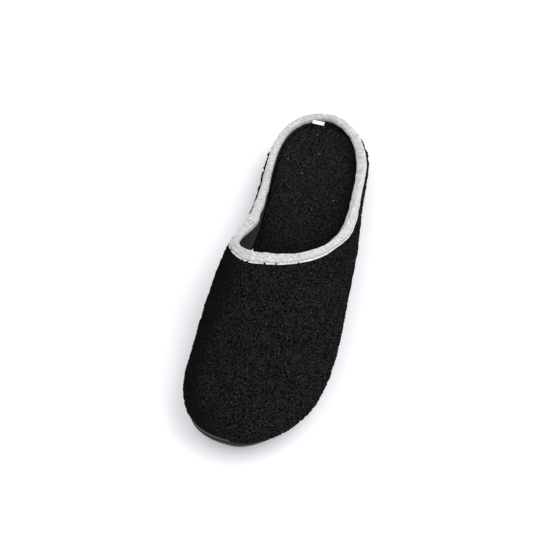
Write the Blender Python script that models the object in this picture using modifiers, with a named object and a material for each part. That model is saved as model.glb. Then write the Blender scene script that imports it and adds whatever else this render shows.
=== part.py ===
import bpy
import bmesh
import math
import numpy as np
from mathutils import Matrix, Vector
from mathutils.bvhtree import BVHTree

# House slipper, left foot: closed toe, open back with a low heel wall.
# Lengths below are millimetres. u runs from the heel end to the toe end along -Y,
# the medial side is -X, the lateral side is +X, and the tread rests on Z = 0.
MM = 0.001
LENGTH = 282.0
CENTRE_X = 5.57
CENTRE_U = 141.475

# Plan of the sole: half widths from the heel-to-toe axis, and how far the upper swells past its foot
OUTLINE = (
    # station, medial, lateral, swell_medial, swell_lateral
    (0.00, 0.0, 0.0, 3.4, 3.4),
    (0.03, 22.8, 19.4, 3.2, 3.4),
    (0.12, 33.6, 35.6, 2.9, 3.8),
    (0.25, 32.2, 40.4, 2.9, 4.8),
    (0.40, 31.4, 45.8, 3.8, 7.0),
    (0.54, 39.8, 48.8, 5.0, 9.2),
    (0.67, 42.8, 50.4, 5.6, 11.2),
    (0.78, 43.0, 49.0, 5.8, 12.6),
    (0.88, 42.2, 41.6, 5.2, 14.0),
    (0.96, 32.5, 23.6, 2.8, 12.6),
    (1.00, 0.0, 0.0, 4.8, 5.4),
)

# Crest line of the upper, as if the dome ran on over the heel
CREST = (
    # station, height
    (0.06, 58.0),
    (0.30, 62.0),
    (0.46, 64.0),
    (0.60, 65.4),
    (0.74, 54.0),
    (0.86, 44.0),
    (0.93, 38.4),
    (0.955, 37.0),
)
HEEL_PULL = 23.5
TOE_PULL = 13.5
CREST_DRIFT_HEEL = -4.0
CREST_DRIFT_TOE = -15.5
CROWN = 2.3
FLANK = 2.2
FLANK_TOE = 1.35
FLANK_TOE_FROM = 0.70
SWELL_LOW = 0.62

# The medial corner of the throat stands out a little, high on its rib
EAR = 3.6
EAR_AT = 0.485
EAR_OVER = 0.045
EAR_HIGH = 1.8

# Collar: low round the heel, sweeping up to the throat, sooner on the lateral side
COLLAR_HEEL = 29.6
COLLAR_SWEEP = {-1: 5.6, 1: 4.3}
THROAT = 0.527

# Outsole
SOLE_FORE = 10.5
SOLE_HEEL = 14.0
HEEL_RISE_FROM = 0.62
HEEL_RISE_OVER = 0.40
TOE_SPRING = 6.6
SPRING_FROM = 0.72
ARCH = 1.8
ARCH_FROM = 0.30
ARCH_TO = 0.54
SOLE_SIDE = (
    # rise as a share of the thickness, inset from the outline
    (0.00, 3.0),
    (0.06, 1.5),
    (0.20, 0.5),
    (0.44, 0.1),
    (0.60, 0.4),
    (0.66, 1.4),
    (0.73, 1.4),
    (0.78, 0.2),
    (0.92, 0.0),
    (1.00, 0.6),
)

# Tread: two recessed panels with slanted rows of oval lugs that stand level with the rim
TREAD_DEPTH = 2.0
TREAD_RIM = 6.8
RECESS_BELOW = 2.0
LUG_SLANT = -0.185
LUG_SIDES = 10
LUG_FULLNESS = 0.75
LUG_ROOT = 0.6
LUG_RUN = 12
FORE_TREAD = dict(
    first_row=-29.4,
    row_pitch=13.3,
    row_count=6,
    pitch=11.4,
    phase=220.6,
    lug_long=10.4,
    lug_short=8.8,
    lug_wide=7.0,
)
HEEL_TREAD = dict(
    first_row=-19.4,
    row_pitch=10.6,
    row_count=5,
    pitch=8.65,
    phase=26.9,
    lug_long=9.0,
    lug_short=7.2,
    lug_wide=5.6,
)
FORE_FRONT = 246.8
FORE_FRONT_MIDDLE = -2.0
FORE_FRONT_ROUND = 0.0108
FORE_BACK = 152.0
FORE_BACK_SLANT = 0.16
HEEL_FRONT = 53.5
HEEL_FRONT_SLANT = 0.48
LUG_MARGIN = 0.5
PANEL_POINTS = 12
PANEL_SPAN = (0.02, 0.98)
HALVINGS = 40

# Upper, binding, footbed and tab
FOOT_INSET = 1.5
WALL = 3.0
GAP = 0.3
TAPE = 1.4
TAPE_GAP = 0.55
TAPE_TIP = 0.9
TAPE_CROWN = 1.7
TAPE_DEPTH = 7.6
TAPE_LINER = 3.4
TAPE_THIRDS = (1 / 3, 2 / 3)
TAPE_ROUND = 0.8
BED_INSET = 5.0
BED_FORE = 6.4
BED_HEEL = 9.0
BED_SIDE = (
    # rise as a share of the thickness, inset from the foot of the footbed
    (0.00, 0.4),
    (0.10, 0.0),
    (0.45, -0.6),
    (0.76, -0.3),
    (0.93, 1.2),
    (1.00, 4.0),
)
TAB_WIDE = 9.4
TAB_TALL = 4.6
TAB_THICK = 0.8
TAB_SOFT = 0.24
TAB_DROP = 2.6
TAB_CLEAR = 1.0
TAB_STATION = 0.004

COLLAR_RIBS = 25
VAMP_RIBS = 16
RIB_ROWS = 9
STATIONS = 40
ACROSS = 4
CROWN_STEPS = 6
SKIN_FINENESS = 3
SHARP_ANGLE = 40.0
INSIDE = Vector((0.0, 0.0, 20.0))


def natural_spline(knots, values):
    knots = np.asarray(knots, float)
    values = np.asarray(values, float)
    gaps = np.diff(knots)
    slopes = np.diff(values) / gaps
    rows = np.eye(len(knots))
    kinks = np.zeros(len(knots))
    for i in range(1, len(knots) - 1):
        rows[i, i - 1:i + 2] = gaps[i - 1], 2 * (gaps[i - 1] + gaps[i]), gaps[i]
        kinks[i] = 6 * (slopes[i] - slopes[i - 1])
    bends = np.linalg.solve(rows, kinks)

    def value(at):
        at = np.asarray(at, float)
        i = np.clip(np.searchsorted(knots, at) - 1, 0, len(gaps) - 1)
        left = knots[i + 1] - at
        right = at - knots[i]
        cubic = (bends[i] * left ** 3 + bends[i + 1] * right ** 3) / (6 * gaps[i])
        start = (values[i] / gaps[i] - bends[i] * gaps[i] / 6) * left
        finish = (values[i + 1] / gaps[i] - bends[i + 1] * gaps[i] / 6) * right
        return cubic + start + finish

    return value


def station_angle(share):
    # Even steps of this run closer together at the rounded ends
    return np.arccos(1 - 2 * np.asarray(share)) / math.pi


def along(t):
    return LENGTH / 2 * (1 - np.cos(math.pi * np.asarray(t)))


outline_t = station_angle([row[0] for row in OUTLINE])
half_width = {
    -1: natural_spline(outline_t, [row[1] for row in OUTLINE]),
    1: natural_spline(outline_t, [row[2] for row in OUTLINE]),
}
swell = {
    -1: natural_spline(outline_t, [row[3] for row in OUTLINE]),
    1: natural_spline(outline_t, [row[4] for row in OUTLINE]),
}
crest_height = natural_spline([row[0] for row in CREST], [row[1] for row in CREST])


def edge(side, t, inset):
    # Point of the plan outline moved square to it, and the outward direction there
    step = 1e-4
    low = max(t - step, 0.0)
    high = min(t + step, 1.0)
    rise = float(along(high) - along(low))
    sideways = side * float(half_width[side](high) - half_width[side](low))
    if t < step or t > 1 - step:
        rise = 0.0
    outward = np.array([rise, -sideways]) * side
    outward = outward / np.linalg.norm(outward)
    point = np.array([side * float(half_width[side](t)), float(along(t))])
    return point - inset * outward, outward


def smooth_step(x):
    x = np.clip(x, 0, 1)
    return x * x * (3 - 2 * x)


def thickness(u):
    return SOLE_FORE + (SOLE_HEEL - SOLE_FORE) * smooth_step((HEEL_RISE_FROM - u / LENGTH) / HEEL_RISE_OVER)


def bed_thickness(u):
    return BED_FORE + (BED_HEEL - BED_FORE) * float(smooth_step((HEEL_RISE_FROM - u / LENGTH) / HEEL_RISE_OVER))


def spring(u):
    return TOE_SPRING * np.clip((u / LENGTH - SPRING_FROM) / (1 - SPRING_FROM), 0, 1) ** 2


def arch(u):
    share = np.clip((u / LENGTH - ARCH_FROM) / (ARCH_TO - ARCH_FROM), 0, 1)
    return ARCH * np.sin(math.pi * share) ** 2


def crest(t):
    u = HEEL_PULL + (LENGTH - HEEL_PULL - TOE_PULL) * float(along(t)) / LENGTH
    x = CREST_DRIFT_HEEL + (CREST_DRIFT_TOE - CREST_DRIFT_HEEL) * u / LENGTH
    return np.array([x, u]), float(crest_height(u / LENGTH))


def collar_angle(side, t):
    # How far up its rib the upper is cut: part way round the heel, right over the vamp
    if t >= THROAT:
        return math.pi / 2
    foot = float(thickness(along(t)) + spring(along(t))) + GAP
    top = crest(t)[1]
    cut = COLLAR_HEEL + (crest(THROAT)[1] - COLLAR_HEEL) * (t / THROAT) ** COLLAR_SWEEP[side]
    share = min(max((cut - foot) / (top - foot), 0.02), 1.0)
    return math.asin(share ** (CROWN / 2))


def rib_point(side, t, angle):
    foot, outward = edge(side, t, FOOT_INSET)
    base = float(thickness(along(t)) + spring(along(t))) + GAP
    top, height = crest(t)
    flank = FLANK + (FLANK_TOE - FLANK) * float(smooth_step((t - FLANK_TOE_FROM) / (1 - FLANK_TOE_FROM)))
    inward = 1 - max(math.cos(angle), 0.0) ** (2 / flank)
    lift = math.sin(angle) ** (2 / CROWN)
    fullness = float(swell[side](t)) * math.sin(math.pi * (2 * angle / math.pi) ** SWELL_LOW)
    if side < 0:
        rise = math.sin(math.pi * (2 * angle / math.pi) ** EAR_HIGH)
        fullness += EAR * math.exp(-((t - EAR_AT) / EAR_OVER) ** 2) * rise
    plan = foot + (top - foot) * inward + outward * fullness
    return np.array([plan[0], plan[1], base + (height - base) * lift])


def placed(point):
    return Vector(((point[0] - CENTRE_X) * MM, (CENTRE_U - point[1]) * MM, point[2] * MM))


def mesh_piece(name, points, faces, collection, in_place=False):
    mesh = bpy.data.meshes.new(name)
    build = bmesh.new()
    verts = [build.verts.new(p if in_place else placed(p)) for p in points]
    for face in faces:
        build.faces.new([verts[i] for i in face])
    bmesh.ops.remove_doubles(build, verts=build.verts, dist=1e-6)
    bmesh.ops.dissolve_degenerate(build, edges=build.edges, dist=1e-7)
    bmesh.ops.recalc_face_normals(build, faces=build.faces)
    build.to_mesh(mesh)
    build.free()
    piece = bpy.data.objects.new(name, mesh)
    collection.objects.link(piece)
    return piece


def loft(rings):
    # Closed rings joined in order; the first and the last fold flat and close themselves
    points = [p for ring in rings for p in ring]
    size = len(rings[0])
    faces = []
    for i in range(len(rings) - 1):
        for j in range(size):
            k = (j + 1) % size
            faces.append((i * size + j, i * size + k, (i + 1) * size + k, (i + 1) * size + j))
    return points, faces


def slab_ring(t, side_rows, inset, floor, thick):
    # Section of a sole-shaped slab: up the lateral side, over, down the medial side, back under
    walls = {}
    for side in (1, -1):
        walls[side] = []
        for share, extra in side_rows:
            xy = edge(side, t, inset + extra)[0]
            walls[side].append(np.array([xy[0], xy[1], floor + share * thick]))
    ring = list(walls[1])
    for i in range(1, ACROSS):
        ring.append(walls[1][-1] + (walls[-1][-1] - walls[1][-1]) * i / ACROSS)
    ring += walls[-1][::-1]
    for i in range(1, ACROSS):
        ring.append(walls[-1][0] + (walls[1][0] - walls[-1][0]) * i / ACROSS)
    return ring


def settled(piece):
    # The piece with its modifiers worked in
    depsgraph = bpy.context.evaluated_depsgraph_get()
    mesh = bpy.data.meshes.new_from_object(piece.evaluated_get(depsgraph))
    piece.modifiers.clear()
    piece.data = mesh
    return piece


def cut_with(piece, cutter, operation):
    boolean = piece.modifiers.new(operation.lower(), 'BOOLEAN')
    boolean.operation = operation
    boolean.solver = 'EXACT'
    boolean.object = cutter
    return settled(piece)


def prism(corners, low, high):
    count = len(corners)
    points = [(x, u, low) for x, u in corners] + [(x, u, high) for x, u in corners]
    faces = [tuple(range(count)), tuple(range(2 * count - 1, count - 1, -1))]
    for i in range(count):
        k = (i + 1) % count
        faces.append((i, i + count, k + count, k))
    return points, faces


def fore_front(x):
    return FORE_FRONT - FORE_FRONT_ROUND * (x - FORE_FRONT_MIDDLE) ** 2


def fore_back(x):
    return FORE_BACK + FORE_BACK_SLANT * x


def heel_front(x):
    return HEEL_FRONT + HEEL_FRONT_SLANT * x


def edge_where(side, front):
    # Share of the outline, at the rim's inset, where it crosses a cross line of the tread
    low, high = PANEL_SPAN
    for i in range(HALVINGS):
        mid = (low + high) / 2
        xy = edge(side, mid, TREAD_RIM)[0]
        if xy[1] < front(xy[0]):
            low = mid
        else:
            high = mid
    return low


def side_run(side, first, last):
    return [tuple(edge(side, t, TREAD_RIM)[0]) for t in np.linspace(first, last, PANEL_POINTS)]


def fore_panel():
    lateral = side_run(1, edge_where(1, fore_back), edge_where(1, fore_front))
    medial = side_run(-1, edge_where(-1, fore_front), edge_where(-1, fore_back))
    front = [(x, fore_front(x)) for x in np.linspace(lateral[-1][0], medial[0][0], PANEL_POINTS)[1:-1]]
    return lateral + front + medial


def heel_panel():
    lateral = side_run(1, 0.0, edge_where(1, heel_front))
    medial = side_run(-1, edge_where(-1, heel_front), 0.0)
    return lateral + medial[:-1]


def inside(corners, x, u):
    hit = False
    for i in range(len(corners)):
        x0, u0 = corners[i - 1]
        x1, u1 = corners[i]
        if (u0 > u) != (u1 > u) and x < x0 + (u - u0) / (u1 - u0) * (x1 - x0):
            hit = not hit
    return hit


def oval(x, u, long, wide):
    # Stretched round, its long side across the shoe along the slanted row
    turn = math.atan(LUG_SLANT)
    corners = []
    for i in range(LUG_SIDES):
        a = 2 * math.pi * (i + 0.5) / LUG_SIDES
        c = math.copysign(abs(math.cos(a)) ** LUG_FULLNESS, math.cos(a)) * long / 2
        s = math.copysign(abs(math.sin(a)) ** LUG_FULLNESS, math.sin(a)) * wide / 2
        across = c * math.cos(turn) - s * math.sin(turn)
        forward = c * math.sin(turn) + s * math.cos(turn)
        corners.append((x + across, u + forward))
    return corners


def lugs(panel, tread):
    points = []
    faces = []
    for j in range(tread["row_count"]):
        x = tread["first_row"] + j * tread["row_pitch"]
        long = tread["lug_short"] if j % 2 == 0 else tread["lug_long"]
        for i in range(-LUG_RUN, LUG_RUN + 1):
            u = tread["phase"] + i * tread["pitch"] + LUG_SLANT * x
            reach = oval(x, u, long + 2 * LUG_MARGIN, tread["lug_wide"] + 2 * LUG_MARGIN)
            if not all(inside(panel, px, pu) for px, pu in reach):
                continue
            more, sides = prism(oval(x, u, long, tread["lug_wide"]), 0.0, TREAD_DEPTH + LUG_ROOT)
            faces += [tuple(k + len(points) for k in face) for face in sides]
            points += more
    return points, faces


def make_outsole(parts, cutters):
    rings = []
    for t in np.linspace(0, 1, STATIONS + 1):
        rings.append(slab_ring(t, SOLE_SIDE, 0.0, 0.0, float(thickness(along(t)))))
    sole = mesh_piece("outsole", *loft(rings), parts)
    for label, panel, tread in (("fore", fore_panel(), FORE_TREAD), ("heel", heel_panel(), HEEL_TREAD)):
        recess = mesh_piece(label + "_recess", *prism(panel, -RECESS_BELOW, TREAD_DEPTH), cutters)
        cut_with(sole, recess, 'DIFFERENCE')
        studs = mesh_piece(label + "_lugs", *lugs(panel, tread), cutters)
        cut_with(sole, studs, 'UNION')
    build = bmesh.new()
    build.from_mesh(sole.data)
    bmesh.ops.remove_doubles(build, verts=build.verts, dist=1e-6)
    bmesh.ops.triangulate(build, faces=build.faces)
    for vert in build.verts:
        # Lift the toe and hollow the waist once the tread is cut
        u = CENTRE_U - vert.co.y / MM
        share = vert.co.z / MM / float(thickness(u))
        vert.co.z += MM * float(spring(u) + arch(u) * (1 - share))
    build.to_mesh(sole.data)
    build.free()
    return sole


def make_footbed(parts):
    rings = []
    for t in np.linspace(0, 1, STATIONS + 1):
        ring = slab_ring(t, BED_SIDE, BED_INSET, 0.0, bed_thickness(float(along(t))))
        for p in ring:
            p[2] += float(thickness(p[1]) + spring(p[1])) + GAP
        rings.append(ring)
    return mesh_piece("insole", *loft(rings), parts)


def rib_stations(fineness):
    collar = [THROAT * math.sin(math.pi / 2 * x) for x in np.linspace(0, 1, COLLAR_RIBS * fineness + 1)]
    vamp = list(np.linspace(THROAT, 1.0, VAMP_RIBS * fineness + 1))
    return collar[:-1] + vamp


def upper_grid(fineness):
    # Ribs in order from the heel up the lateral side, round the toe and back down the medial side
    stations = rib_stations(fineness)
    rows = np.linspace(0, 1, RIB_ROWS * fineness + 1)
    ribs = []
    for side, run in ((1, stations), (-1, stations[-2:0:-1])):
        for t in run:
            top = collar_angle(side, t)
            ribs.append([rib_point(side, t, top * share) for share in rows])
    points = [p for rib in ribs for p in rib]
    size = len(rows)
    faces = []
    for i in range(len(ribs)):
        k = (i + 1) % len(ribs)
        for j in range(size - 1):
            faces.append((i * size + j, k * size + j, k * size + j + 1, i * size + j + 1))
    return points, faces


def make_upper(parts):
    upper = mesh_piece("upper", *upper_grid(1), parts)
    wall = upper.modifiers.new("wall", 'SOLIDIFY')
    wall.thickness = WALL * MM
    wall.offset = -1.0
    wall.use_even_offset = True
    return upper


def collar_line():
    stations = rib_stations(1)[:COLLAR_RIBS + 1]
    line = [rib_point(1, t, collar_angle(1, t)) for t in stations]
    line += [rib_point(-1, t, collar_angle(-1, t)) for t in stations[-2:0:-1]]
    return [placed(p) for p in line]


def upper_skin():
    # The upper's outer face on a finer grid, to lay trim along
    points, faces = upper_grid(SKIN_FINENESS)
    return BVHTree.FromPolygons([placed(p) for p in points], faces)


def on_skin(skin, point, offset):
    spot, normal = skin.find_nearest(point)[:2]
    if normal.dot(spot - INSIDE * MM) < 0:
        normal = -normal
    return spot + normal * offset * MM


def tape_section(skin, spot, normal, down):
    # Outer flange up, over the crown, inner flange down, then back along the faces that hug the upper
    outside = TAPE_GAP + TAPE
    inside_face = -(WALL + TAPE_GAP + TAPE)
    ring = [on_skin(skin, spot + down * TAPE_DEPTH * MM, TAPE_GAP + TAPE_TIP)]
    for share in TAPE_THIRDS[::-1]:
        ring.append(on_skin(skin, spot + down * share * TAPE_DEPTH * MM, outside))
    middle = spot - normal * WALL / 2 * MM
    reach = WALL / 2 + TAPE_GAP + TAPE
    for i in range(CROWN_STEPS + 1):
        turn = math.pi * i / CROWN_STEPS
        across = math.copysign(abs(math.cos(turn)) ** TAPE_ROUND, math.cos(turn)) * reach
        ring.append(middle + (normal * across - down * math.sin(turn) * (TAPE_GAP + TAPE_CROWN)) * MM)
    for share in TAPE_THIRDS:
        ring.append(on_skin(skin, spot + down * share * TAPE_LINER * MM, inside_face))
    ring.append(on_skin(skin, spot + down * TAPE_LINER * MM, -(WALL + TAPE_GAP + TAPE_TIP)))
    for depth in (TAPE_LINER, TAPE_LINER / 2):
        ring.append(on_skin(skin, spot + down * depth * MM, -(WALL + TAPE_GAP)))
    for across in (-WALL / 2 - TAPE_GAP, WALL / 2 + TAPE_GAP):
        ring.append(middle + (normal * across - down * TAPE_GAP) * MM)
    for depth in (TAPE_DEPTH / 2, TAPE_DEPTH):
        ring.append(on_skin(skin, spot + down * depth * MM, TAPE_GAP))
    return ring


def make_binding(parts, skin):
    # A folded tape that straddles the collar edge and follows the upper on both faces
    line = collar_line()
    count = len(line)
    rings = []
    for i in range(count):
        run = (line[(i + 1) % count] - line[i - 1]).normalized()
        normal = (on_skin(skin, line[i], 1.0) - on_skin(skin, line[i], 0.0)).normalized()
        normal = (normal - run * normal.dot(run)).normalized()
        rings.append(tape_section(skin, line[i], normal, normal.cross(run)))
    rings.append(rings[0])
    points, faces = loft(rings)
    return mesh_piece("collar_binding", points, faces, parts, in_place=True)


def make_tab(parts, skin):
    # A small blank tab that hangs inside the heel against the binding
    t = float(station_angle(TAB_STATION))
    spot = placed(rib_point(-1, t, collar_angle(-1, t))) - Vector((0, 0, TAB_DROP * MM))
    normal = (on_skin(skin, spot, 1.0) - on_skin(skin, spot, 0.0)).normalized()
    bpy.ops.mesh.primitive_cube_add(size=MM)
    tab = bpy.context.object
    tab.name = "heel_tab"
    tab.data.name = "heel_tab"
    tab.data.transform(Matrix.Diagonal((TAB_WIDE, TAB_THICK, TAB_TALL, 1.0)))
    tab.location = on_skin(skin, spot, -(WALL + TAPE_GAP + TAPE + TAB_CLEAR + TAB_THICK / 2))
    tab.rotation_euler = normal.to_track_quat('Y', 'Z').to_euler()
    for collection in list(tab.users_collection):
        collection.objects.unlink(tab)
    parts.objects.link(tab)
    soften = tab.modifiers.new("soft edge", 'BEVEL')
    soften.width = TAB_SOFT * MM
    soften.segments = 2
    return tab


def finish(piece, name, colour, roughness):
    material = bpy.data.materials.new(name)
    material.use_nodes = True
    shader = material.node_tree.nodes["Principled BSDF"]
    shader.inputs["Base Color"].default_value = (*colour, 1.0)
    shader.inputs["Roughness"].default_value = roughness
    shader.inputs["Metallic"].default_value = 0.0
    piece.data.materials.clear()
    piece.data.materials.append(material)
    piece.data.shade_smooth()
    piece.data.set_sharp_from_angle(angle=math.radians(SHARP_ANGLE))


def main():
    for piece in list(bpy.data.objects):
        bpy.data.objects.remove(piece, do_unlink=True)
    parts = bpy.data.collections.new("house_slipper")
    cutters = bpy.data.collections.new("house_slipper_cutters")
    bpy.context.scene.collection.children.link(parts)
    bpy.context.scene.collection.children.link(cutters)
    skin = upper_skin()
    finish(make_outsole(parts, cutters), "grey rubber", (0.035, 0.035, 0.037), 0.72)
    finish(make_footbed(parts), "black terry footbed", (0.011, 0.010, 0.011), 0.95)
    finish(make_upper(parts), "black terry", (0.010, 0.009, 0.010), 0.95)
    finish(make_binding(parts, skin), "pale velour", (0.72, 0.72, 0.73), 0.9)
    finish(make_tab(parts, skin), "white tape", (0.86, 0.86, 0.86), 0.8)
    for cutter in cutters.objects:
        cutter.hide_render = True
        cutter.display_type = 'WIRE'


main()
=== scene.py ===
import itertools
import math

import bpy
import numpy as np
from mathutils import Matrix, Vector
from mathutils.bvhtree import BVHTree
from mathutils.kdtree import KDTree


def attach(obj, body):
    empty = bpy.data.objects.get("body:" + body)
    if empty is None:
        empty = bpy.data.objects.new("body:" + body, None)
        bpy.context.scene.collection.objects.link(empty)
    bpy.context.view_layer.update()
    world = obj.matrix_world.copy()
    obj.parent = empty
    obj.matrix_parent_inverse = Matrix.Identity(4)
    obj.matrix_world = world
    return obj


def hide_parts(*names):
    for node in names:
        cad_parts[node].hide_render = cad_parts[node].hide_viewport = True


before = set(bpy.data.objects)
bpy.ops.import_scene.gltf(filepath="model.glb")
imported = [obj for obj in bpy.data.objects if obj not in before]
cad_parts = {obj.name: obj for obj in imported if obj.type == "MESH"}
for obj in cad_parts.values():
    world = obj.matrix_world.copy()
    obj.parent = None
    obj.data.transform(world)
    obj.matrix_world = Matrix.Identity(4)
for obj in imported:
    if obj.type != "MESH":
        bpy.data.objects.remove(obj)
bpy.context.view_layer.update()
mm = 0.001
medial, lateral = -1, 1
print("frame loaded:", ", ".join(sorted(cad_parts)))

# The shoe's form in millimetres: u runs from heel to toe, x is positive on the lateral side
form = {
    "length": 282.0,
    "centreX": 5.57,
    "centreU": 141.475,
    "outline": (  # station, medial, lateral, swell medial, swell lateral
        (0.00, 0.0, 0.0, 3.4, 3.4),
        (0.03, 22.8, 19.4, 3.2, 3.4),
        (0.12, 33.6, 35.6, 2.9, 3.8),
        (0.25, 32.2, 40.4, 2.9, 4.8),
        (0.40, 31.4, 45.8, 3.8, 7.0),
        (0.54, 39.8, 48.8, 5.0, 9.2),
        (0.67, 42.8, 50.4, 5.6, 11.2),
        (0.78, 43.0, 49.0, 5.8, 12.6),
        (0.88, 42.2, 41.6, 5.2, 14.0),
        (0.96, 32.5, 23.6, 2.8, 12.6),
        (1.00, 0.0, 0.0, 4.8, 5.4),
    ),
    "crest": (  # station, height
        (0.06, 58.0), (0.30, 62.0), (0.46, 64.0), (0.60, 65.4),
        (0.74, 54.0), (0.86, 44.0), (0.93, 38.4), (0.955, 37.0),
    ),
    "heelPull": 23.5, "toePull": 13.5,
    "driftHeel": -4.0, "driftToe": -15.5,
    "crown": 2.3, "flank": 2.2, "flankToe": 1.35, "flankToeFrom": 0.70, "swellLow": 0.62,
    "ear": {"swell": 3.6, "at": 0.485, "over": 0.045, "high": 1.8},  # the throat's medial corner stands out
    "collarHeel": 29.6, "collarSweep": {medial: 5.6, lateral: 4.3}, "leastCut": 0.02, "throat": 0.527,
    "soleFore": 10.5, "soleHeel": 14.0, "heelRiseFrom": 0.62, "heelRiseOver": 0.40,
    "toeSpring": 6.6, "springFrom": 0.72,
    "arch": 1.8, "archFrom": 0.30, "archTo": 0.54,
    "footInset": 1.5, "seatGap": 0.3, "wall": 3.0,
    # The binding: station, reach down the outer face, reach down the inner one, inner fullness,
    # outer fullness, crown, and stand of the pile beside it
    "tape": {
        medial: (
            (0.0, 5.5, 3.4, 0.3, 0.0, 1.7, 2.6), (0.05, 5.5, 3.4, 0.3, 0.3, 1.7, 3.4),
            (0.115, 5.5, 3.4, 0.3, 0.8, 1.7, 4.6), (0.17, 5.5, 3.2, 0.0, 0.9, 1.7, 5.1),
            (0.22, 5.5, 2.2, 0.0, 0.9, 1.7, 5.2), (0.30, 5.6, 2.6, 0.0, 0.8, 1.7, 5.2),
            (0.373, 5.8, 3.4, 0.6, 0.9, 1.7, 5.2), (0.405, 5.9, 4.2, 1.5, 1.0, 1.7, 4.6),
            (0.435, 6.0, 4.4, 2.3, 0.5, 1.7, 2.8), (0.463, 6.0, 4.2, 1.8, 0.2, 1.7, 1.6),
            (0.488, 5.8, 4.0, 1.2, 0.0, 1.7, 1.0), (0.508, 5.4, 3.0, 0.6, 0.0, 1.8, 0.8),
            (0.521, 6.4, 3.0, 0.0, 0.0, 2.0, 0.8), (0.527, 8.6, 3.0, 0.0, 0.0, 1.6, 0.8),
        ),
        lateral: (
            (0.0, 5.5, 3.4, 0.3, 0.0, 1.7, 2.6), (0.06, 5.5, 3.4, 1.2, 0.0, 1.7, 2.4),
            (0.12, 5.5, 3.4, 1.7, 0.0, 1.7, 2.6), (0.224, 5.6, 3.2, 1.9, 0.0, 1.7, 2.8),
            (0.267, 6.2, 3.0, 0.75, 0.0, 1.4, 2.2), (0.306, 7.0, 3.0, 0.0, 0.0, 0.9, 2.0),
            (0.343, 7.6, 3.0, 0.0, 0.0, 0.6, 1.8), (0.408, 7.4, 3.0, 0.0, 0.0, 0.6, 1.6),
            (0.438, 6.6, 3.0, 0.0, 0.0, 0.7, 1.2), (0.466, 5.6, 3.0, 0.0, 0.0, 1.0, 0.8),
            (0.49, 6.4, 3.0, 0.0, 0.0, 1.2, 0.8), (0.51, 7.4, 3.0, 0.0, 0.0, 1.2, 0.8),
            (0.522, 8.6, 3.0, 0.0, 0.0, 1.3, 0.8), (0.527, 8.6, 3.0, 0.0, 0.0, 1.6, 0.8),
        ),
    },
}
tapeReach, tapeCrown, tapeStand = 0, 4, 5  # columns of the binding's table, past the station

sampling = {  # how many points the curves are read at
    "collar": 3000, "vamp": 2000, "rib": 200, "bed": 4000, "ticks": 1500, "coarseRun": 900, "run": 2400,
    "tape": 300, "tapeEase": 6,  # the binding's measures, each eased with this many on either side
    "collarPace": (0.45, 1.0), "vampPace": (0.2, 0.9),  # shares and angles up a rib where its pace is read
}


def spline(knots, values):  # natural cubic through a short table
    knots, values = np.asarray(knots, float), np.asarray(values, float)
    gaps = np.diff(knots)
    slopes = np.diff(values) / gaps
    rows, kinks = np.eye(len(knots)), np.zeros(len(knots))
    for i in range(1, len(knots) - 1):
        rows[i, i - 1:i + 2] = gaps[i - 1], 2 * (gaps[i - 1] + gaps[i]), gaps[i]
        kinks[i] = 6 * (slopes[i] - slopes[i - 1])
    bends = np.linalg.solve(rows, kinks)

    def value(at):
        at = np.asarray(at, float)
        i = np.clip(np.searchsorted(knots, at) - 1, 0, len(gaps) - 1)
        left, right = knots[i + 1] - at, at - knots[i]
        cubic = (bends[i] * left ** 3 + bends[i + 1] * right ** 3) / (6 * gaps[i])
        start = (values[i] / gaps[i] - bends[i] * gaps[i] / 6) * left
        return cubic + start + (values[i + 1] / gaps[i] - bends[i + 1] * gaps[i] / 6) * right

    return value


def stationAngle(share):
    return np.arccos(1 - 2 * np.asarray(share)) / math.pi


def alongShoe(t):
    return form["length"] / 2 * (1 - np.cos(math.pi * np.asarray(t)))


def softStep(x):
    x = np.clip(x, 0, 1)
    return x * x * (3 - 2 * x)


def rising(value, start, over):  # eases from 0 at the start to 1
    return softStep((value - start) / over)


def falling(value, end, over):  # eases from 1 to 0 at the end
    return softStep((end - value) / over)


outlineStations, *outlineColumns = zip(*form["outline"])
outlineCurves = [spline(stationAngle(outlineStations), column) for column in outlineColumns]
halfWidth = dict(zip((medial, lateral), outlineCurves[:2]))
swell = dict(zip((medial, lateral), outlineCurves[2:]))
crestHeight = spline(*zip(*form["crest"]))


def heelRise(u):
    return falling(u / form["length"], form["heelRiseFrom"], form["heelRiseOver"])


def soleThick(u):
    return form["soleFore"] + (form["soleHeel"] - form["soleFore"]) * heelRise(u)


def toeSpring(u):
    share = (u / form["length"] - form["springFrom"]) / (1 - form["springFrom"])
    return form["toeSpring"] * np.clip(share, 0, 1) ** 2


def archLift(u):
    share = (u / form["length"] - form["archFrom"]) / (form["archTo"] - form["archFrom"])
    return form["arch"] * np.sin(math.pi * np.clip(share, 0, 1)) ** 2


def soleTop(u):
    return soleThick(u) + toeSpring(u)


def outlineEdge(side, t, inset):  # a point inside the plan outline, and the way outwards there
    t = np.asarray(t, float)
    step = 1e-4
    low, high = np.maximum(t - step, 0), np.minimum(t + step, 1)
    ahead = np.where((t < step) | (t > 1 - step), 0, alongShoe(high) - alongShoe(low))
    aside = side * (halfWidth[side](high) - halfWidth[side](low))
    way = side * np.stack([ahead, -aside], -1)
    way /= np.linalg.norm(way, axis=-1, keepdims=True)
    spot = np.stack([side * halfWidth[side](t), alongShoe(t)], -1)
    return spot - np.asarray(inset, float)[..., None] * way, way


def crestPoint(t):
    length = form["length"]
    u = form["heelPull"] + (length - form["heelPull"] - form["toePull"]) * alongShoe(t) / length
    x = form["driftHeel"] + (form["driftToe"] - form["driftHeel"]) * u / length
    return np.stack([x, u], -1), crestHeight(u / length)


def upperFoot(t):  # height of the upper's lower edge
    return soleTop(alongShoe(t)) + form["seatGap"]


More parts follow.
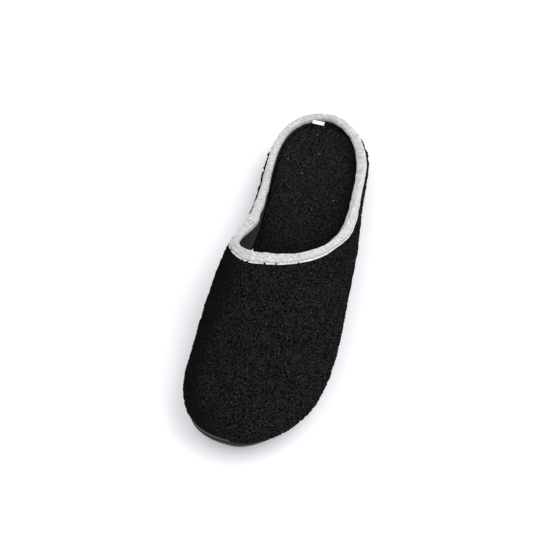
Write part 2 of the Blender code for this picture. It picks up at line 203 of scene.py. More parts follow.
def collarAngle(side, t):  # how far up its rib the upper is cut
    foot = upperFoot(t)
    rise = crestPoint(form["throat"])[1] - form["collarHeel"]
    cut = form["collarHeel"] + rise * (t / form["throat"]) ** form["collarSweep"][side]
    share = np.clip((cut - foot) / (crestPoint(t)[1] - foot), form["leastCut"], 1)
    return np.where(t >= form["throat"], math.pi / 2, np.arcsin(share ** (form["crown"] / 2)))


def ribPoint(side, t, angle):  # a point of the upper's outer face
    foot, way = outlineEdge(side, t, form["footInset"])
    base = upperFoot(t)
    top, height = crestPoint(t)
    toeward = rising(t, form["flankToeFrom"], 1 - form["flankToeFrom"])
    flank = form["flank"] + (form["flankToe"] - form["flank"]) * toeward
    inward = 1 - np.maximum(np.cos(angle), 0) ** (2 / flank)
    lift = np.sin(angle) ** (2 / form["crown"])
    full = swell[side](t) * np.sin(math.pi * (2 * angle / math.pi) ** form["swellLow"])
    if side == medial:
        ear = form["ear"]
        rise = np.sin(math.pi * (2 * angle / math.pi) ** ear["high"])
        full = full + ear["swell"] * np.exp(-((t - ear["at"]) / ear["over"]) ** 2) * rise
    plan = foot + (top - foot) * inward[..., None] + way * full[..., None]
    return np.concatenate([plan, (base + (height - base) * lift)[..., None]], -1)


def inPlace(points):  # shoe millimetres to the frame's metres
    x, u, z = np.moveaxis(np.asarray(points, float), -1, 0)
    return np.stack([x - form["centreX"], form["centreU"] - u, z], -1) * mm


def alongU(points):  # back from the frame's metres, along the shoe
    return form["centreU"] - points[:, 1] / mm


def stepLengths(points):
    return np.linalg.norm(np.diff(points, axis=0), axis=1)


def runningTotal(lengths):
    return np.concatenate([[0], np.cumsum(lengths)])


def evenSteps(points, count):  # the same run of points at even spacing
    gone = runningTotal(stepLengths(points))
    at = np.linspace(0, gone[-1], count)
    return np.stack([np.interp(at, gone, column) for column in points.T], -1)


def pacedStations(t, runs, count):  # even steps by whichever of the runs goes fastest
    gone = runningTotal(np.max([stepLengths(run) for run in runs], axis=0))
    return np.interp(np.linspace(0, gone[-1], count), gone, t)


def collarStations(count):
    t = np.linspace(0, form["throat"], sampling["collar"])
    runs = [ribPoint(side, t, collarAngle(side, t) * share)
            for side in (lateral, medial) for share in sampling["collarPace"]]
    return pacedStations(t, runs, count)


def vampStations(count):
    t = np.linspace(form["throat"], 1, sampling["vamp"])
    runs = [ribPoint(side, t, np.full_like(t, angle))
            for side in (lateral, medial) for angle in sampling["vampPace"]]
    return pacedStations(t, runs, count)


def upperTable(collarCount, vampCount, rows):  # ribs along the lateral side, then back along the medial
    stations = np.concatenate([collarStations(collarCount), vampStations(vampCount)[1:]])
    shares = np.linspace(0, 1, sampling["rib"])
    ribs = []
    for side, run in ((lateral, stations), (medial, stations[-2::-1])):
        fine = ribPoint(side, run[:, None], collarAngle(side, run)[:, None] * shares)
        ribs += [evenSteps(rib, rows) for rib in fine]
    return inPlace(ribs)


def collarLoop(count):  # stations and sides in order round the collar
    stations = collarStations(count)
    return (lateral, stations), (medial, stations[-2:0:-1])


def collarSpot(side, t):
    t = np.asarray(t, float)
    return inPlace(ribPoint(side, t, collarAngle(side, t)))


def collarLine(count):
    return np.concatenate([collarSpot(side, run) for side, run in collarLoop(count)])


def tapeTable(count):  # the binding's measures round the collar, eased from station to station
    rows = []
    for side, run in collarLoop(count):
        stations, *measures = zip(*form["tape"][side])
        rows += list(zip(*(np.interp(run, stations, measure) for measure in measures)))
    ease = sampling["tapeEase"]
    return sum(np.roll(rows, k, axis=0) for k in range(-ease, ease + 1)) / (2 * ease + 1)


def nearTree(points):
    tree = KDTree(len(points))
    for i, spot in enumerate(points):
        tree.insert(spot, i)
    tree.balance()
    return tree


collarTree, tapeSizes = nearTree(collarLine(sampling["tape"])), tapeTable(sampling["tape"])


def tapeAt(spot):  # the binding's measures nearest a spot
    return tapeSizes[collarTree.find(spot)[1]]


# Blender helpers
def alone(piece):
    bpy.ops.object.select_all(action="DESELECT")
    piece.select_set(True)
    bpy.context.view_layer.objects.active = piece


def added(operator, name, **settings):  # a new object, with nothing else selected
    bpy.ops.object.select_all(action="DESELECT")
    operator(**settings)
    piece = bpy.context.object
    piece.name = piece.data.name = name
    return piece


def readVectors(layer, key):
    flat = np.empty(len(layer) * 3, np.float32)
    layer.foreach_get(key, flat)
    return flat.reshape(-1, 3).astype(float)


def coords(piece):
    return readVectors(piece.data.vertices, "co")


def normals(piece):
    return readVectors(piece.data.vertex_normals, "vector")


def setCoords(piece, points):
    piece.data.vertices.foreach_set("co", np.asarray(points, np.float32).ravel())
    piece.data.update()


def setAttribute(piece, name, values):
    layer = piece.data.attributes.new(name, "FLOAT", "POINT")
    layer.data.foreach_set("value", np.asarray(values, np.float32))


def facing(spot, x, y, z):  # a place with its three axes
    return Matrix.Translation(spot) @ Matrix((x, y, z)).transposed().to_4x4()


def laidGrid(name, table):  # a grid primitive laid over a table of points
    rows, columns = table.shape[:2]
    grid = {"x_subdivisions": columns - 1, "y_subdivisions": rows - 1, "size": 2}
    piece = added(bpy.ops.mesh.primitive_grid_add, name, **grid)
    x, y = (coords(piece)[:, :2].T + 1) / 2
    setCoords(piece, table[np.rint(y * (rows - 1)).astype(int), np.rint(x * (columns - 1)).astype(int)])
    return piece


def edited(piece, *steps):  # edit-mode operators with their settings, each on the whole mesh
    alone(piece)
    bpy.ops.object.mode_set(mode="EDIT")
    for operator, settings in steps:
        bpy.ops.mesh.select_all(action="SELECT")
        operator(**settings)
    bpy.ops.object.mode_set(mode="OBJECT")


def weld(piece, inside=None):  # closes the seams of a laid grid and turns its faces out
    gap = 1e-6
    edited(piece, (bpy.ops.mesh.remove_doubles, {"threshold": gap}),
           (bpy.ops.mesh.dissolve_degenerate, {"threshold": gap / 2}),
           (bpy.ops.mesh.normals_make_consistent, {"inside": False}))
    if inside is not None:  # an open skin is turned by a point inside it
        out = np.sum(normals(piece) * (coords(piece) - np.array(inside)), axis=1)
        if np.median(out) < 0:
            edited(piece, (bpy.ops.mesh.flip_normals, {}))


def modify(piece, kind, **settings):
    alone(piece)
    step = piece.modifiers.new(kind.lower(), kind)
    for key, value in settings.items():
        setattr(step, key, value)
    bpy.ops.object.modifier_apply(modifier=step.name)


def cutOut(piece, cutter):
    modify(piece, "BOOLEAN", operation="DIFFERENCE", solver="EXACT", object=cutter)
    bpy.data.objects.remove(cutter)


def copies(name, model, matrices):  # one joined piece of many copies of a small model
    made = []
    for matrix in matrices:
        twin = model.copy()
        twin.data = model.data.copy()
        twin.data.transform(matrix)
        bpy.context.collection.objects.link(twin)
        made.append(twin)
    bpy.data.objects.remove(model)
    alone(made[0])
    for twin in made:
        twin.select_set(True)
    bpy.ops.object.join()
    made[0].name = made[0].data.name = name
    return made[0]


def lump(name, ripples, shift, level, swing, stretch):  # an uneven little ball, stretched
    ball = added(bpy.ops.mesh.primitive_ico_sphere_add, name, subdivisions=2, radius=0.5)
    points = coords(ball)
    points *= (level + swing * np.sin(points @ np.array(ripples) + shift))[:, None]
    setCoords(ball, points * np.array(stretch) * mm)
    return ball


def triangles(piece):
    return sum(len(face.vertices) - 2 for face in piece.data.polygons)


def thin(piece, most):
    count = triangles(piece)
    if count > most:
        modify(piece, "DECIMATE", ratio=most / count, use_collapse_triangulate=True)


def place(piece, material, node, slot):
    alone(piece)
    bpy.ops.object.shade_smooth()
    if not piece.data.materials:
        piece.data.materials.append(material)
    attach(piece, "root")
    if node:
        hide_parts(node)
    print(f"{piece.name}: {triangles(piece)} triangles")


def grey(value):
    return (value, value, value, 1.0)


def wireSum(operation, swap=False):
    def method(wire, other):
        pair = {0: other, 1: wire} if swap else {0: wire, 1: other}
        return wire.finish.node("ShaderNodeMath", {"operation": operation}, pair)

    return method


class Wire:  # a socket that takes part in sums
    def __init__(self, finish, socket):
        self.finish, self.socket = finish, socket

    __add__ = __radd__ = wireSum("ADD")
    __sub__ = wireSum("SUBTRACT")
    __rsub__ = wireSum("SUBTRACT", swap=True)
    __mul__ = __rmul__ = wireSum("MULTIPLY")
    __pow__ = wireSum("POWER")
    __gt__ = wireSum("GREATER_THAN")


cellSettings = {"wobble": 700, "sway": 0.5}  # how uneven the cells of a finish are


class Finish:  # one material, its shader and its nodes
    def __init__(self, name, **fixed):
        self.material = bpy.data.materials.new(name)
        self.material.use_nodes = True
        self.tree = self.material.node_tree
        self.shader = self.tree.nodes["Principled BSDF"]
        for socket, value in fixed.items():
            self.shader.inputs[socket.replace("_", " ")].default_value = value

    def node(self, kind, settings=None, sockets=None, out=0):
        made = self.tree.nodes.new(kind)
        for key, value in (settings or {}).items():
            if key == "stops":
                ramp = made.color_ramp.elements
                while len(ramp) < len(value):
                    ramp.new(0.5)
                for stop, (at, colour) in zip(ramp, value):
                    stop.position, stop.color = at, colour
            else:
                setattr(made, key, value)
        for key, value in (sockets or {}).items():
            if isinstance(value, Wire):
                self.tree.links.new(value.socket, made.inputs[key])
            else:
                made.inputs[key].default_value = value
        return Wire(self, made.outputs[out])

    def place(self):
        return self.node("ShaderNodeTexCoord", out="Object")

    def turned(self, turn, stretch=(1, 1, 1)):
        sockets = {"Vector": self.place(), "Rotation": turn, "Scale": stretch}
        return self.node("ShaderNodeMapping", {}, sockets)

    def noise(self, size, detail=3.0, rough=0.55):  # size in millimetres
        sockets = {"Vector": self.place(), "Scale": 1000 / size, "Detail": detail, "Roughness": rough}
        return self.node("ShaderNodeTexNoise", {}, sockets, "Fac")

    def cells(self, size, out="Distance"):  # uneven cells, their size in millimetres
        wobble = {"Vector": self.place(), "Scale": cellSettings["wobble"] / size}
        wobble = self.node("ShaderNodeTexNoise", {}, wobble, "Color")
        sway = {0: wobble, "Scale": cellSettings["sway"] * size * mm}
        shift = self.node("ShaderNodeVectorMath", {"operation": "SCALE"}, sway)
        at = self.node("ShaderNodeVectorMath", {"operation": "ADD"}, {0: self.place(), 1: shift})
        return self.node("ShaderNodeTexVoronoi", {}, {"Vector": at, "Scale": 1000 / size}, out)

    def waves(self, place, axis, scale, **sockets):
        sockets.update(Vector=place, Scale=scale)
        return self.node("ShaderNodeTexWave", {"bands_direction": axis}, sockets, "Fac")

    def smooth(self, value, low, high):
        sockets = {"Value": value, 1: low, 2: high}
        return self.node("ShaderNodeMapRange", {"interpolation_type": "SMOOTHSTEP"}, sockets)

    def stripe(self, value, at, low, high):  # 1 near a value; low and high are squared distances
        return 1 - self.smooth((value - at) ** 2, low, high)

    def attribute(self, name):
        return self.node("ShaderNodeAttribute", {"attribute_name": name}, out="Fac")

    def blend(self, factor, first, tone, tint=grey):
        return self.node("ShaderNodeMix", {"data_type": "RGBA"}, {0: factor, 6: first, 7: tint(tone)}, 2)

    def ramp(self, factor, *stops, tint=grey):
        stops = [(at, tint(tone)) for at, tone in stops]
        return self.node("ShaderNodeValToRGB", {"stops": stops}, {"Fac": factor})

    def bump(self, height, strength, distance, under=None):
        sockets = {"Height": height, "Strength": strength, "Distance": distance * mm}
        if under:
            sockets["Normal"] = under
        return self.node("ShaderNodeBump", {}, sockets)

    def feed(self, **wires):
        for socket, wire in wires.items():
            self.tree.links.new(wire.socket, self.shader.inputs[socket.replace("_", " ")])
        return self.material


# Finishes, with sizes in millimetres
terrySettings = {
    "tint": (1.03, 0.95, 1.0),  # a black with a breath of violet
    "pitStep": 1.6, "pitEdge": (0.22, 0.46), "grainSize": 0.95, "grainEdge": (0.36, 0.64), "patchSize": 22,
    # pit: the near-black of the pits between loops, painted shade
    "pit": 0.0001, "lowLoop": 0.75, "highLoop": 1.6,
    "speckStep": 1.5, "speckEdge": (0.10, 0.30), "specksOver": 0.62, "speck": 0.07, "paintedShadeShare": 0.75,
}


def terryTint(tone):
    return (*(tone * share for share in terrySettings["tint"]), 1.0)


def makeTerry(name, loop, shadedTone):  # tones of the loops and of the painted shade on the side turned from the light
    s = terrySettings
    terry = Finish(name, Roughness=0.95, Specular_IOR_Level=0.0)
    pile, tone = terry.attribute("pile"), terry.attribute("tone")
    hole = terry.smooth(terry.cells(s["pitStep"]), *s["pitEdge"])  # 0 in the pits between loops, which the colour paints near black as painted shade
    grain = terry.smooth(terry.noise(s["grainSize"], 2), *s["grainEdge"])
    patches = terry.noise(s["patchSize"], 2)
    # Painted shade: the pits and the low parts of the loops' relief (pile) are darkened; tone, patches and
    # grain vary at random
    shade = (0.7 + 0.3 * pile) * (0.85 + 0.25 * tone) * (0.9 + 0.2 * patches) * (0.45 + 0.85 * grain)
    stops = (0.0, s["pit"]), (0.5, loop * s["lowLoop"]), (1.0, loop * s["highLoop"])
    colour = terry.ramp(hole * shade, *stops, tint=terryTint)
    tips = 1 - terry.smooth(terry.cells(s["speckStep"]), *s["speckEdge"])
    lit = tips * hole * (terry.cells(s["speckStep"], "Color") > s["specksOver"])
    colour = terry.blend(lit, colour, s["speck"])
    # painted shade: the colour goes to the darker tone where the lay attribute is high
    colour = terry.blend(s["paintedShadeShare"] * terry.attribute("lay"), colour, shadedTone, terryTint)
    fluff = terry.bump(hole, 0.7, 0.9, terry.bump(terry.noise(0.8, 3, 0.7), 0.8, 0.6))
    return terry.feed(Base_Color=colour, Normal=fluff)


velourSettings = {
    "turn": (0.2, 0.3, 0.75), "stretch": (0.4, 1, 1), "strokes": 1150.0,  # strokes in the nap
    "tones": ((0.38, 0.25), (0.50, 0.45), (0.62, 0.61)),
    "ditchShadeAt": 1.5, "ditchShadeEdge": (0.05, 0.7), "ditchShade": 0.16,  # painted shade along the stitched ditch
    "rimHighlightEdge": (0.6, 1.1), "rimHighlight": 0.70,  # a painted highlight on the edge below them
    "join": ((-0.5, 0.2), (0.5, 0.74)), "joinShadeEdge": (0.02, 0.4),  # painted shade and painted highlight on the two sides of the tape's raised join
}


def makeVelour():
    s = velourSettings
    velour = Finish("paleVelour", Roughness=0.92, Sheen_Weight=0.25, Sheen_Roughness=0.4,
                    Specular_IOR_Level=0.2)
    strokes = {"Vector": velour.turned(s["turn"], s["stretch"]), "Scale": s["strokes"], "Detail": 3.0}
    brushed = velour.node("ShaderNodeTexNoise", {}, strokes, "Fac")
    fine = velour.noise(0.9, 3, 0.7)
    colour = velour.ramp(0.5 * brushed + 0.35 * fine + 0.15 * velour.noise(6, 2), *s["tones"])
    edge, join = velour.attribute("edge"), velour.attribute("join")
    # painted shade darkens the ditch along the stitches
    ditchShade = velour.stripe(edge, s["ditchShadeAt"], *s["ditchShadeEdge"]) * (0.2 + 0.9 * velour.noise(1.6, 1))
    colour = velour.blend(0.7 * ditchShade, colour, s["ditchShade"])
    # painted highlight along the binding's outer edge, in patches
    rimHighlight = (1 - velour.smooth(edge, *s["rimHighlightEdge"])) * velour.smooth(velour.noise(4, 2), 0.3, 0.6)
    colour = velour.blend(0.8 * rimHighlight, colour, s["rimHighlight"])
    # painted shade on one side of the raised lap, a painted highlight on the other
    for at, tone in s["join"]:
        colour = velour.blend(0.5 * velour.stripe(join, at, *s["joinShadeEdge"]), colour, tone)
    nap = velour.bump(fine, 0.35, 0.2, velour.bump(brushed, 0.25, 0.5))
    return velour.feed(Base_Color=colour, Normal=nap)


def makeLining():
    lining = Finish("greyLining", Roughness=0.85, Specular_IOR_Level=0.1)
    place = lining.turned((0.3, 0.2, 0.7))
    warp, weft = (lining.waves(place, axis, 320.0, Distortion=1.5, Detail=1.0) for axis in ("X", "Y"))
    weave = warp + weft
    colour = lining.ramp(0.3 * weave + 0.4 * lining.noise(3), (0.2, 0.024), (0.8, 0.041))
    return lining.feed(Base_Color=colour, Normal=lining.bump(weave, 0.3, 0.2))


rubberSettings = {  # heights are shares of the sole's thickness
    "tones": ((0.3, 0.027), (0.7, 0.040)),
    "sideEdge": (0.3, 0.5), "side": 0.008,
    # painted shade in the groove round the sole's side
    "grooveShadeAt": 0.70, "grooveShadeEdge": (0.001, 0.008), "groove": 0.005,
    # painted highlight along the top of the sole's lip
    "lipHighlightAt": 0.93, "lipHighlightEdge": (0.0004, 0.003), "lipHighlight": 0.085,
}


def makeRubber():
    s = rubberSettings
    rubber = Finish("greyRubber", Specular_IOR_Level=0.18)
    cloud, grain = rubber.noise(14, 4), rubber.noise(0.5, 2)
    colour = rubber.ramp(0.7 * cloud + 0.3 * grain, *s["tones"])
    height = rubber.attribute("height")  # up the side of the sole
    colour = rubber.blend(0.75 * rubber.smooth(height, *s["sideEdge"]), colour, s["side"])
    # painted shade darkens the groove round the sole's side
    colour = rubber.blend(0.8 * rubber.stripe(height, s["grooveShadeAt"], *s["grooveShadeEdge"]), colour, s["groove"])
    # painted highlight: a light line along the top of the sole's lip
    colour = rubber.blend(0.9 * rubber.stripe(height, s["lipHighlightAt"], *s["lipHighlightEdge"]), colour, s["lipHighlight"])
    rough, fine = 0.48 + 0.22 * cloud, rubber.bump(grain, 0.18, 0.15)
    return rubber.feed(Base_Color=colour, Roughness=rough, Normal=fine)


def makeTape():
    tape = Finish("whiteTape", Roughness=0.7, Sheen_Weight=0.15)
    rib = tape.waves(tape.turned((0.0, 0.0, 0.2)), "X", 500.0, Distortion=0.6)
    colour = tape.ramp(0.5 * rib + 0.5 * tape.noise(1.5), (0.2, 0.72), (0.8, 0.88))
    return tape.feed(Base_Color=colour, Normal=tape.bump(rib, 0.25, 0.12))


def makeLint():
    lint = Finish("whiteLint", Roughness=0.9)
    return lint.feed(Base_Color=lint.ramp(lint.noise(0.3), (0.3, 0.5), (0.7, 0.85)))


finishes = {
    "terry": makeTerry("blackTerry", 0.0094, 0.0052),
    # painted light: the footbed's terry is a lighter copy of the upper's, for the light its upturned face
    # catches
    "litBedTerry": makeTerry("blackTerryLitCopy", 0.0124, 0.0082),
    "velour": makeVelour(),
    "lining": makeLining(),
    "rubber": makeRubber(),
    "tape": makeTape(),
    "lint": makeLint(),
}
print("finishes made:", len(finishes))

# Camera at the photograph's angle to the shoe, rolled with it
viewing = {
    "azimuth": 0.46585, "elevation": 0.96605, "roll": -0.23964,  # radians
    "distance": 1.47523, "focal": 2020.1, "spot": (287.205, 268.152), "frame": 550,  # metres, then pixels
    "aim": (-0.00082, -0.000385, 0.030), "sensor": 36.0, "near": 0.05, "far": 50,
}


def makeCamera():
    v = viewing
    az, el, roll = v["azimuth"], v["elevation"], v["roll"]
    ahead = -Vector((math.sin(az) * math.cos(el), -math.cos(az) * math.cos(el), math.sin(el)))
    right = ahead.cross(Vector((0, 0, 1))).normalized()
    up = right.cross(ahead)
    right, up = math.cos(roll) * right + math.sin(roll) * up, math.cos(roll) * up - math.sin(roll) * right
    aside, below = ((s - v["frame"] / 2) / v["focal"] * v["distance"] for s in v["spot"])
    spot = Vector(v["aim"]) - aside * right + below * up - v["distance"] * ahead
    camera = added(bpy.ops.object.camera_add, "photoCamera", location=spot)
    camera.matrix_world = facing(spot, right, up, -ahead)
    camera.data.sensor_width = v["sensor"]
    camera.data.lens = v["focal"] / v["frame"] * v["sensor"]
    camera.data.clip_start, camera.data.clip_end = v["near"], v["far"]
    bpy.context.scene.camera = camera

# Terry upper with its lining
upperSettings = {
    "collarRibs": 140, "vampRibs": 146, "rows": 83, "skin": (110, 80, 34),  # a coarser skin to measure from
    "pitch": 2.0, "jitter": 0.9, "pile": 0.95, "seed": 7,
    "undulation": 0.16, "undulationSize": 13.0, "evenOver": 3.0, "most": 199000,
    "loopsFrom": (-1.5, 2.5), "loopsLeft": 0.1,  # no loops to speak of under the binding
    "standFrom": (-0.9, 2.6), "standFades": (6.0, 40.0), "standLeft": 0.3,  # they stand proud beside it
    "footTuck": 7.0, "footLeft": 0.1,  # and less by the sole
    "tousle": 0.07, "tousleSize": 6.0,  # how uneven they stand there
    "paintedShadeFrom": (0.05, 0.5),  # painted shade: the medial flank, turned from the light, is darker
    "forms": (  # x, u, half length, half width, turn, height of each soft hollow or swell
        (-8.0, 236.0, 34.0, 13.0, 0.25, -0.7),
        (14.0, 205.0, 30.0, 16.0, -0.5, 0.5),
        (-26.0, 200.0, 26.0, 11.0, 1.1, -0.5),
        (30.0, 168.0, 24.0, 9.0, 0.9, -0.5),
    ),
}
loopSettings = {
    "turnZ": 0.42, "turnX": 0.31, "chances": 256,  # a lattice askew to the shoe
    "dome": 0.66,  # distance from a loop's middle, in pitches, where its dome reaches the cloth
    "pit": -0.55, "sink": 0.45, "least": 0.75, "vary": 0.5,
}
cloudSettings = {"waves": 14, "spread": (0.7, 1.6), "level": 3.7}


def loopField(points, pitch, jitter, seed):
    # nearest loop of a jittered, turned lattice: distance in pitches, and a tone of its own
    s = loopSettings
    rng = np.random.default_rng(seed)
    table, chance = rng.permutation(s["chances"]), rng.random((s["chances"], 4))
    turn = np.array(Matrix.Rotation(s["turnZ"], 3, "Z") @ Matrix.Rotation(s["turnX"], 3, "X"))
    cells = points @ turn / (pitch * mm)
    base = np.floor(cells).astype(np.int64)
    near, tone = np.full(len(points), np.inf), np.zeros(len(points))
    for offset in itertools.product((-1, 0, 1), repeat=3):
        x, y, z = (base + offset).T % s["chances"]
        key = table[(table[(table[x] + y) % s["chances"]] + z) % s["chances"]]
        spot = base + offset + 0.5 + jitter * (chance[key, :3] - 0.5)
        gap = np.linalg.norm(spot - cells, axis=1)
        closer = gap < near
        near, tone = np.where(closer, gap, near), np.where(closer, chance[key, 3], tone)
    return near, tone


def softForms(points, rows):
    x, u = points[:, 0] / mm + form["centreX"], alongU(points)
    lift = np.zeros(len(points))
    for cx, cu, long, wide, turn, height in rows:
        a = (x - cx) * math.cos(turn) + (u - cu) * math.sin(turn)
        b = (u - cu) * math.cos(turn) - (x - cx) * math.sin(turn)
        lift += height * np.exp(-(a / long) ** 2 - (b / wide) ** 2)
    return lift


def clouds(points, size, seed):  # smooth unevenness from a few crossing waves, about -1 to 1
    rng = np.random.default_rng(seed)
    total = np.zeros(len(points))
    for i in range(cloudSettings["waves"]):
        way = rng.normal(size=3)
        way *= 2 * math.pi / (np.linalg.norm(way) * size * mm * rng.uniform(*cloudSettings["spread"]))
        total += np.sin(points @ way + rng.uniform(0, 2 * math.pi))
    return total / cloudSettings["level"]


def raiseTerry(piece, which, out, settings, fade, stand=0):
    # loops stand up from the cloth: domes with pits where three of them meet
    s, loop = settings, loopSettings
    points = coords(piece)
    spots = points[which]
    near, tone = loopField(spots, s["pitch"], s["jitter"], s["seed"])
    dome = np.clip(1 - (near / loop["dome"]) ** 2, loop["pit"], 1)
    lift = s["pile"] * (dome - loop["sink"]) * (loop["least"] + loop["vary"] * tone) * fade
    lift += s["undulation"] * clouds(spots, s["undulationSize"], s["seed"]) * fade
    lift += softForms(spots, s["forms"]) * fade + stand
    points[which] += out * lift[:, None] * mm
    setCoords(piece, points)
    pile, loopTone = np.full(len(points), 0.5), np.full(len(points), 0.5)
    pile[which], loopTone[which] = (dome - loop["pit"]) / (1 - loop["pit"]), tone
    setAttribute(piece, "pile", pile)
    setAttribute(piece, "tone", loopTone)


def upperSkin():
    table = upperTable(*upperSettings["skin"])
    ribs, rows = table.shape[:2]
    faces = [(i * rows + j, (i + 1) * rows + j, (i + 1) * rows + j + 1, i * rows + j + 1)
             for i in range(ribs - 1) for j in range(rows - 1)]
    return BVHTree.FromPolygons([Vector(p) for p in table.reshape(-1, 3)], faces)


skinTree = upperSkin()
skinMiddle = Vector((0, 0, 0.020))


def outward(spot):  # the nearest place on the upper's outer face and the way out of it
    found, normal = skinTree.find_nearest(spot)[:2]
    return found, normal if normal.dot(found - skinMiddle) > 0 else -normal


def onSkin(spot, offset):  # a point that far, in millimetres, off the upper's outer face
    found, normal = outward(spot)
    return found + normal * offset * mm


def smoothOut(points, reach):  # the way out, evened over the places round each point
    shifts = [Vector()] + [Vector(way) * sign * reach * mm for way in np.eye(3) for sign in (1, -1)]
    ways = np.array([[outward(Vector(spot) + shift)[1] for shift in shifts] for spot in points]).mean(axis=1)
    return ways / np.linalg.norm(ways, axis=1)[:, None]


def makeUpper():
    s = upperSettings
    upper = laidGrid("terryUpper", upperTable(s["collarRibs"], s["vampRibs"], s["rows"]))
    weld(upper, inside=skinMiddle)
    skin = coords(upper)
    out = smoothOut(skin, s["evenOver"])
    for finish in ("terry", "lining"):
        upper.data.materials.append(finishes[finish])
    modify(upper, "SOLIDIFY", thickness=form["wall"] * mm, offset=-1.0, material_offset=1)
    outer = np.arange(len(skin))
    points = coords(upper)
    points[len(skin):2 * len(skin)] = skin - out * form["wall"] * mm  # even, where the ribs crowd too
    setCoords(upper, points)
    nearest, gaps = zip(*(collarTree.find(spot)[1:] for spot in skin))
    sizes = tapeSizes[list(nearest)]
    away = np.array(gaps) / mm - sizes[:, tapeReach]  # past the binding's edge
    stand = sizes[:, tapeStand] * rising(away, *s["standFrom"])
    stand *= 1 - (1 - s["standLeft"]) * rising(away, *s["standFades"])
    stand *= 1 + s["tousle"] * clouds(skin, s["tousleSize"], s["seed"] + 1)
    height = skin[:, 2] / mm - soleTop(alongU(skin))
    stand *= s["footLeft"] + (1 - s["footLeft"]) * rising(height, 0, s["footTuck"])
    fade = s["loopsLeft"] + (1 - s["loopsLeft"]) * rising(away, *s["loopsFrom"])
    raiseTerry(upper, outer, out, s, fade, stand)
    # painted shade on the faces turned to the medial side, away from the light
    lay = np.zeros(len(points))
    lay[outer] = rising(-out[:, 0], *s["paintedShadeFrom"])
    setAttribute(upper, "lay", lay)
    thin(upper, s["most"])
    place(upper, finishes["terry"], "upper", "upper")

# Padded terry footbed
bedSettings = {
    "inset": 5.0, "fore": 6.4, "heel": 9.0, "columns": 176, "underside": 7, "step": 0.58, "most": 175000,
    "shownTo": 176.0, "shownFades": 10.0, "topPast": 4.0, "hiddenStations": 36,
    "side": ((0.00, 0.4), (0.10, 0.0), (0.45, -0.6), (0.76, -0.3), (0.93, 1.2), (1.00, 4.0)),  # rise, inset
    "spread": {medial: (0.95, 0.55), lateral: (0.45, 0.7)},  # share of the way to the wall, and the gap left
    "mostSpread": 6.0, "spreadFades": 30.0, "spreadRise": 0.3,
    "pitch": 2.0, "jitter": 0.9, "pile": 0.75, "seed": 11,
    "undulation": 0.16, "undulationSize": 15.0,
    "cup": 2.3,  # its edge rides up the wall round the heel and on the medial side
    "cupMedial": (8, 30), "cupHeel": (40, 25), "cupAlong": (120, 30),
    "cupInward": (4, 12), "cupFacing": (-0.3, 0.6),
    # painted shade on the footbed's lateral side and fore part
    "paintedShadeLateral": (14, 16), "paintedShadeFore": (100, 25), "topFacing": (-0.5, 0.5), "rimStride": 10,
    "forms": (
        (0.0, 44.0, 22.0, 28.0, 0.0, -1.5),
        (-6.0, 140.0, 26.0, 34.0, 0.0, -0.6),
        (-22.0, 96.0, 9.0, 32.0, 0.1, 0.5),
    ),
}


def wallRoom(side, t, rise):  # how far the lining stands out from the sole's outline at a height
    share = np.clip(rise / (crestPoint(t)[1] - upperFoot(t)), 0, 1)
    wall = ribPoint(side, np.full(len(rise), t), np.arcsin(share ** (form["crown"] / 2)))
    edge, way = outlineEdge(side, np.full(len(rise), t), 0.0)
    return np.sum((wall[:, :2] - edge) * way, axis=1) - form["wall"]


def bedSection(t):
    s = bedSettings
    thick = s["fore"] + (s["heel"] - s["fore"]) * heelRise(alongShoe(t))
    rise, inset = np.array(s["side"]).T
    walls = {}
    for side in (lateral, medial):
        plan, way = outlineEdge(side, np.full(len(rise), t), s["inset"] + inset)
        share, gap = s["spread"][side]
        room = wallRoom(side, t, rise * thick) + s["inset"] - gap  # from the foot of the bed to the lining
        spread = np.clip(room + np.minimum(inset, 0), 0, s["mostSpread"]) * share
        spread *= falling(plan[:, 1], s["shownTo"], s["spreadFades"]) * rising(rise, 0, s["spreadRise"])
        plan = plan + way * spread[:, None]
        walls[side] = np.column_stack([plan, rise * thick + soleTop(plan[:, 1]) + form["seatGap"]])
    over = evenSteps(np.concatenate([walls[medial], walls[lateral][::-1]]), s["columns"])
    share = np.linspace(0, 1, s["underside"] + 2)[1:, None]
    return np.concatenate([over, over[-1] + (over[0] - over[-1]) * share])


